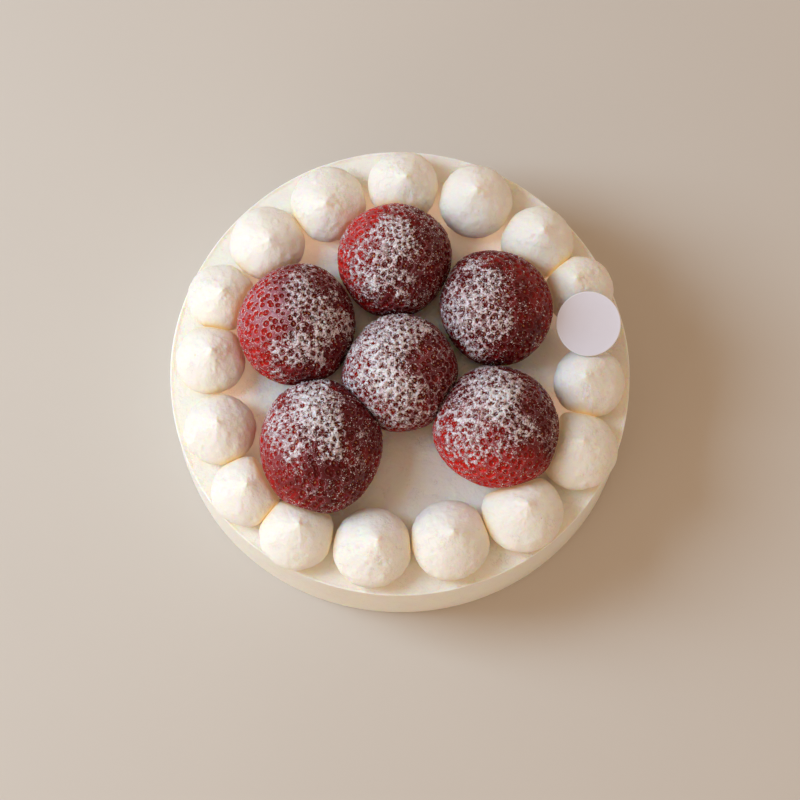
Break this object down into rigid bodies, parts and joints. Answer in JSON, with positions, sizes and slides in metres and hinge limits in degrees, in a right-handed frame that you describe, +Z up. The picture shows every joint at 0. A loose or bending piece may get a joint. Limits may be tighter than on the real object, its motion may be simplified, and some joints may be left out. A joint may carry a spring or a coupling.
{
  "type": "strawberry shortcake",
  "caption": "Round cream-covered cake with a ring of piped cream balls, sugared hulled strawberries standing inside it, and a thin round blank label.",
  "frame": {"origin": "middle of the cake's underside, under the centre of its bounding box", "axes": "+Z up; +X to the right and +Y to the far side in the picture"},
  "size_m": [0.1592, 0.1564, 0.0819],
  "materials": {
    "cream_coat": null,
    "cream": "piped whipped cream, soft satin, small bubbles and drag marks",
    "strawberry": "moist ripe strawberry flesh with seed pits, dusted with icing sugar",
    "label_card": "smooth coated card, pale lilac white, blank"
  },
  "bodies": {
    "root": {"cake": "cream_coat", "cream_ball_01": "cream", "cream_ball_02": "cream", "cream_ball_03": "cream", "cream_ball_04": "cream", "cream_ball_05": "cream", "cream_ball_06": "cream", "cream_ball_07": "cream", "cream_ball_08": "cream", "cream_ball_09": "cream", "cream_ball_10": "cream", "cream_ball_11": "cream", "cream_ball_12": "cream", "cream_ball_13": "cream", "cream_ball_14": "cream", "cream_ball_15": "cream", "cream_ball_16": "cream", "strawberry_far": "strawberry", "strawberry_left": "strawberry", "strawberry_right": "strawberry", "strawberry_middle": "strawberry", "strawberry_front_left": "strawberry", "strawberry_front_right": "strawberry", "label_disc": "label_card"}
  },
  "joints": []
}
